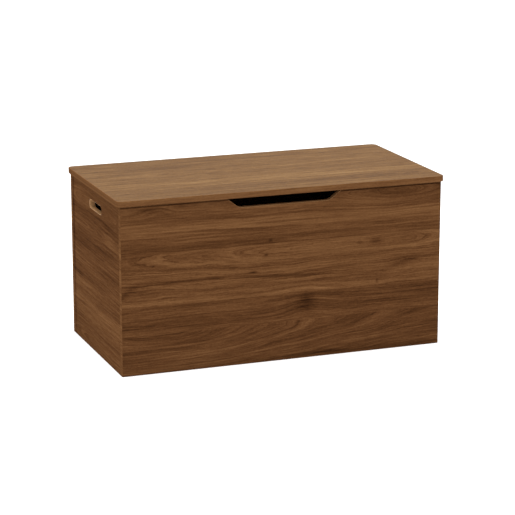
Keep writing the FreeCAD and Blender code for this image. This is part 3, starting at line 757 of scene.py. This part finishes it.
def measure_carcass():
    front_low, front_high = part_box("front_panel_edge_band")
    back_low, back_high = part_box("back_panel_edge_band")
    side_low, side_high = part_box("left_side_panel")
    return Carcass(left=front_low.x, right=front_high.x, height=front_high.z,
                   front=front_low.y, inner_front=front_high.y,
                   middle_y=(front_high.y + back_low.y) / 2,
                   inner_back=back_low.y, back=back_high.y, board=side_high.x - side_low.x)


def end_strips(carcass):
    """Paths of the edge bands on the two ends of the front or the back board."""
    left, right, height = carcass.left, carcass.right, carcass.height
    return [[Vector((left, height)), Vector((left, 0))],
            [Vector((right, 0)), Vector((right, height))]]


def build_front(carcass, band_wood):
    """The front board and its band, whose faces in the grip are painted lighter: a painted highlight
    where the grip's flank catches the light.
    """
    left, right, height = carcass.left, carcass.right, carcass.height
    near, far = carcass.front, carcass.inner_front
    wood = walnut("walnut_front", "X", "Z", FRONT_STAVES, 1.0, FRONT_HILLS, FRONT_MARKS,
                  lift=-0.025)
    grip_band_painted_highlight = walnut("walnut_band_at_grip_painted_highlight", "X", "Z", BAND_STAVES, 87.0, lift=0.5, calm=0.8)

    grip = GRIP_TOP_WIDTH / 2
    foot = grip - GRIP_FLANK
    top = rounded(
        [(right - BAND, height), (grip, height), (foot, height - GRIP_DEPTH),
         (-foot, height - GRIP_DEPTH), (-grip, height), (left + BAND, height)],
        [0, GRIP_CONVEX_RADIUS, GRIP_CONCAVE_RADIUS, GRIP_CONCAVE_RADIUS, GRIP_CONVEX_RADIUS, 0])
    core = [Vector((left + BAND, 0)), Vector((right - BAND, 0))] + inset(top, BAND, False)
    board("front_panel", "xz", [core], near, far, "box", [wood])
    band = bands("front_panel_edge_band", "xz", end_strips(carcass) + [top], near, far, "box",
                 [band_wood, grip_band_painted_highlight])
    # painted highlight: the band's faces in the grip take the lighter walnut
    for face in band.data.polygons:
        if abs(face.center.x) < grip and face.center.z < height - BAND:
            face.material_index = 1


def build_back(carcass, band_wood):
    left, right, height = carcass.left, carcass.right, carcass.height
    near, far = carcass.inner_back, carcass.back
    wood = walnut("walnut_back", "X", "Z", BACK_STAVES, 52.0, BACK_HILLS, BACK_MARKS)
    core = rectangle(left + BAND, right - BAND, 0, height - BAND)
    board("back_panel", "xz", [core], near, far, "box", [wood])
    top = [Vector((right - BAND, height)), Vector((left + BAND, height))]
    bands("back_panel_edge_band", "xz", end_strips(carcass) + [top], near, far, "box", [band_wood])


def build_sides(carcass):
    """The two end boards, with a handle slot each and pockets for the cam locks."""
    height = carcass.height
    left_wood = walnut("walnut_side", "Y", "Z", SIDE_STAVES, 31.0, marks=SIDE_MARKS, lift=-0.02,
                       calm=0.8, crisp=0.9)
    right_wood = walnut("walnut_right_side", "Y", "Z", RIGHT_STAVES, 44.0, marks=RIGHT_MARKS)
    band_wood = walnut("walnut_band_y", "Y", "Z", BAND_STAVES, 83.0, lift=0.1, calm=0.8)
    slot_edge = slot_wall_painted_light("slot_wall_painted_light_material")

    low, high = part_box("cam_locks")
    cams = [(y, z) for y in (low.y + CAM_RADIUS, high.y - CAM_RADIUS)
            for z in (low.z + CAM_RADIUS, high.z - CAM_RADIUS)]
    cam_radius = CAM_RADIUS + POCKET_PLAY
    slot = hole(carcass.middle_y - SLOT_FORWARD, height - SLOT_DROP, SLOT_LENGTH, SLOT_HEIGHT / 2)
    core = rectangle(carcass.inner_front, carcass.inner_back, 0, height - BAND)
    top = [Vector((carcass.inner_back, height)), Vector((carcass.inner_front, height))]
    for name, near, inside_is_high, wood in (
        ("left", carcass.left, True, left_wood),
        ("right", carcass.right - carcass.board, False, right_wood),
    ):
        far = near + carcass.board
        pockets = [(hole(y, z, 2 * cam_radius, cam_radius), CAM_DEPTH, inside_is_high)
                   for y, z in cams]
        board(name + "_side_panel", "yz", [core, slot], near, far, "box",
              [wood, slot_edge], pockets=pockets)
        bands(name + "_side_edge_band", "yz", [top], near, far, "box", [band_wood])


def build_lid(band_wood):
    # The top takes the palette with painted light, the underside the plain walnut
    wood = walnut("walnut_lid", "X", "Y", LID_STAVES, 63.0, marks=LID_MARKS, calm=0.6, crisp=2.2,
                  gloss=0.02, palette=LID_TOP_WALNUT_PAINTED_LIGHT)
    under = walnut("walnut_lid_underside", "X", "Y", UNDERSIDE_STAVES, 68.0,
                   marks=UNDERSIDE_MARKS)
    low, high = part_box("lid_edge_band")
    whole = rounded([(low.x, low.y), (high.x, low.y), (high.x, high.y), (low.x, high.y)],
                    [LID_CORNER_RADIUS] * 4)
    board("lid_panel", "xy", [inset(whole, BAND)], low.z, high.z, "lid",
          [wood, band_wood, under])
    bands("lid_edge_band", "xy", [whole], low.z, high.z, "lid", [band_wood], closed=True)


def build_bottom(carcass):
    """The bottom board, with pockets for the screws that hold it to the rails."""
    wood = walnut("walnut_floor", "X", "Y", FLOOR_STAVES, 75.0)
    side = middle("right_rail", "x")
    spots = [(x, y) for x in FLOOR_SCREWS_X
             for y in (middle("front_rail", "y"), middle("rear_rail", "y"))]
    spots += [(-side, carcass.middle_y), (side, carcass.middle_y)]
    pockets = [screw_pocket(x, y, True) for x, y in spots]
    low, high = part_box("bottom_panel")
    board("bottom_panel", "xy", [rectangle(low.x, high.x, low.y, high.y)], low.z, high.z, "box",
          [wood], pockets=pockets)


def build_rails():
    """The battens round the foot, with pockets for the heads of the screws in them."""
    along_x = plain_wood("pine_along_x", "X", "Y", "Z")
    along_y = plain_wood("pine_along_y", "Y", "X", "Z")
    for name, plane, wood, inside_is_high in (
        ("front_rail", "xz", along_x, True),
        ("rear_rail", "xz", along_x, False),
        ("left_rail", "yz", along_y, True),
        ("right_rail", "yz", along_y, False),
    ):
        low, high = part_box(name)
        if plane == "xz":
            start, end, near, far = low.x, high.x, low.y, high.y
            screws = RAIL_SCREWS_X
        else:
            start, end, near, far = low.y, high.y, low.x, high.x
            centre = (start + end) / 2
            screws = (centre - RAIL_SCREWS_FROM_MIDDLE, centre + RAIL_SCREWS_FROM_MIDDLE)
        pockets = [screw_pocket(u, middle(name, "z"), inside_is_high) for u in screws]
        board(name, plane, [rectangle(start, end, low.z, high.z)], near, far, "box",
              [wood], RAIL_ARRIS, pockets)


def soften(node, width):
    """Round a fitting's edges a little."""
    weld = node.modifiers.new("join_faces", "WELD")
    weld.merge_threshold = WELD_DISTANCE
    bevel = node.modifiers.new("soft_edges", "BEVEL")
    bevel.width = width
    bevel.segments = 2
    bevel.angle_limit = SOFTENED_ANGLE
    bevel.use_clamp_overlap = True
    node.modifiers.new("even_shading", "WEIGHTED_NORMAL")


def dress_fittings():
    """Materials for the fittings, which keep their CAD shapes."""
    nickel = metal("brushed_nickel", (0.42, 0.40, 0.36), (0.62, 0.60, 0.56), roughness=0.32,
                   relief_depth=0.01 * MM, stretch=12.0)
    stay_steel = metal("stay_steel", (0.30, 0.30, 0.31), (0.50, 0.50, 0.51), roughness=0.38,
                       relief_depth=0.02 * MM)
    zinc = metal("zinc_plate", (0.45, 0.46, 0.48), (0.68, 0.69, 0.70), roughness=0.30,
                 relief_depth=0.02 * MM)
    casting = metal("zinc_casting", (0.36, 0.36, 0.37), (0.56, 0.56, 0.57), roughness=0.45,
                    relief_depth=0.05 * MM)
    plastic = moulded("black_plastic", (0.012, 0.012, 0.013), (0.030, 0.030, 0.032),
                      roughness=0.48)
    rubber = moulded("bumper_rubber", (0.56, 0.56, 0.52), (0.70, 0.70, 0.66), roughness=0.55)
    dowel_wood = plain_wood("beech_dowel", "Y", "X", "Z")

    # Each fitting's material, and how far its edges are rounded
    dressing = {
        "corner_dowels": (dowel_wood, 0.3 * MM),
        "cam_locks": (casting, 0),
        "lid_bumpers": (rubber, 0.5 * MM),
    }
    for name in ("cam_bolts", "rail_screws", "bottom_panel_screws", "hinge_body_screws",
                 "hinge_lid_screws", "stay_wall_screws", "stay_lid_screws"):
        dressing[name] = (zinc, 0)
    for place in ("left", "centre", "right"):
        dressing[place + "_hinge_body_leaf"] = (nickel, 0.15 * MM)
        dressing[place + "_hinge_lid_leaf"] = (nickel, 0.15 * MM)
        dressing[place + "_hinge_pin"] = (nickel, 0.3 * MM)
    for side in ("left", "right"):
        dressing[side + "_stay_base_plate"] = (stay_steel, 0.3 * MM)
        dressing[side + "_stay_housing"] = (plastic, 0.6 * MM)
        dressing[side + "_stay_wall_rivet"] = (zinc, 0.4 * MM)
        dressing[side + "_stay_arm"] = (stay_steel, 0.35 * MM)
        dressing[side + "_stay_elbow_rivet"] = (zinc, 0.4 * MM)
        dressing[side + "_stay_link"] = (stay_steel, 0.35 * MM)
        dressing[side + "_stay_lid_bracket"] = (stay_steel, 0.3 * MM)
        dressing[side + "_stay_lid_rivet"] = (zinc, 0.4 * MM)
    for name, (material, width) in dressing.items():
        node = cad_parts[name]
        node.data.materials.clear()
        node.data.materials.append(material)
        if width:
            soften(node, width)


camera()
studio()
box_carcass = measure_carcass()
band_walnut = walnut("walnut_band_x", "X", "Z", BAND_STAVES, 81.0, lift=0.1, calm=0.8)
build_front(box_carcass, band_walnut)
build_back(box_carcass, band_walnut)
build_sides(box_carcass)
build_lid(band_walnut)
build_bottom(box_carcass)
build_rails()
dress_fittings()
